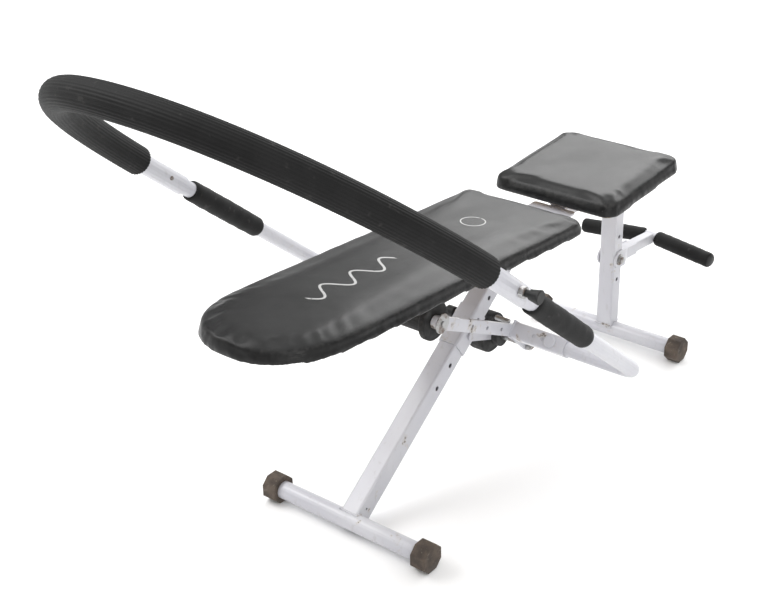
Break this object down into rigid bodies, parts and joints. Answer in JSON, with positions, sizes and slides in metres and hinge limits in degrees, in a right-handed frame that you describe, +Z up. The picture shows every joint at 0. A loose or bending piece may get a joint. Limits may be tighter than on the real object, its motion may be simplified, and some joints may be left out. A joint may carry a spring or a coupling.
{
  "type": "decline sit-up bench",
  "caption": "Decline sit-up bench with a hinged back pad, a seat, an ankle bar and a roller-lift yoke carrying an overhead foam-covered arc on a locking collar.",
  "frame": {"origin": "bottom centre of the whole bench's bounding box, the side knob included, on the floor", "axes": "+X to the side with the pull knob, +Y from the front foot to the seat, +Z up"},
  "size_m": [0.8228, 1.6114, 1.0051],
  "materials": {
    "paint": "satin light grey paint, chipped and slightly yellowed at the edges",
    "steel": "dull zinc-plated steel with light rust",
    "cap_rubber": "matt brown-grey rubber",
    "black_rubber": "matt black rubber",
    "foam": "matt black closed-cell foam",
    "vinyl": "glossy black vinyl with worn edges",
    "board": "bare chipboard",
    "black_plastic": "satin black plastic"
  },
  "bodies": {
    "frame": {"front_foot_tube": "paint", "rear_foot_tube": "paint", "front_left_cap": "cap_rubber", "front_right_cap": "cap_rubber", "rear_left_cap": "cap_rubber", "rear_right_cap": "cap_rubber", "main_beam": "paint", "rear_post": "paint", "seat_tube": "paint", "hinge_plate": "paint", "hinge_barrel": "paint", "hinge_rod": "steel", "seat_pad": "vinyl", "seat_board": "board", "seat_riser": "paint"},
    "pad": {"back_pad": "vinyl", "back_board": "board", "pad_rail_left": "paint", "pad_rail_right": "paint"},
    "collar": {"collar": "paint", "lock_nut": "steel", "pivot_axle": "steel", "pivot_bush": "black_rubber", "pivot_nut": "steel", "collar_lug_left": "paint", "collar_lug_right": "paint", "pivot_spacer_left": "black_rubber", "pivot_spacer_right": "black_rubber"},
    "lock_pin": {"lock_pin": "black_plastic"},
    "yoke": {"pivot_plate_left": "paint", "pivot_plate_right": "paint", "side_bar_left": "paint", "side_bar_right": "paint", "stop_peg_left": "steel", "stop_peg_right": "steel", "cross_sleeve_left": "paint", "cross_sleeve_right": "paint", "sleeve_pin_left": "steel", "sleeve_pin_right": "steel", "arm_tube_left": "paint", "arm_tube_right": "paint", "hand_grip_left": "foam", "hand_grip_right": "foam", "roller_axle": "steel", "roller_washer": "steel"},
    "roller": {"front_roller": "black_rubber"},
    "arc": {"arc_tube": "paint", "arc_foam": "foam", "pull_pin_nut": "steel"},
    "pull_pin": {"pull_knob": "black_plastic"},
    "snap_button": {"snap_button": "steel"},
    "ankle_bar": {"ankle_arm": "paint", "ankle_bar": "paint", "ankle_bolt": "steel", "ankle_washer": "steel", "ankle_nut": "steel", "ankle_ear_left": "paint", "ankle_ear_right": "paint", "ankle_grip_left": "foam", "ankle_grip_right": "foam"}
  },
  "joints": [
    {"name": "collar_slide", "type": "slide", "parent": "frame", "child": "collar", "axis": [0, 0.8126, 0.5828], "range_m": [-0.107, 0]},
    {"name": "lock_pin_pull", "type": "slide", "parent": "collar", "child": "lock_pin", "axis": [-1, 0, 0], "range_m": [0, 0.008], "stiffness_N_per_m": 150},
    {"name": "yoke_swing", "type": "hinge", "parent": "collar", "child": "yoke", "pos_m": [-0.02, 0.103, 0.235], "axis": [-1, 0, 0], "range_deg": [0, 25]},
    {"name": "pad_tilt", "type": "hinge", "parent": "frame", "child": "pad", "pos_m": [-0.02, 0.26, 0.427], "axis": [-1, 0, 0], "range_deg": [0, 18.7]},
    {"name": "roller_spin", "type": "hinge", "parent": "yoke", "child": "roller", "pos_m": [-0.02, -0.197, 0.418], "axis": [1, 0, 0], "continuous": true},
    {"name": "arc_extension", "type": "slide", "parent": "yoke", "child": "arc", "axis": [0, -0.7705, 0.6374], "range_m": [0, 0.025]},
    {"name": "pull_pin", "type": "slide", "parent": "arc", "child": "pull_pin", "axis": [1, 0, 0], "range_m": [0, 0.008], "stiffness_N_per_m": 150},
    {"name": "snap_button_press", "type": "slide", "parent": "arc", "child": "snap_button", "axis": [-1, 0, 0], "range_m": [0, 0.005], "stiffness_N_per_m": 100},
    {"name": "ankle_tilt", "type": "hinge", "parent": "frame", "child": "ankle_bar", "pos_m": [-0.02, 0.5945, 0.2055], "axis": [1, 0, 0], "range_deg": [-18, 20]}
  ],
  "couplings": [
    {"joint": "pad_tilt", "follows": "yoke_swing", "ratio": 0.745}
  ]
}
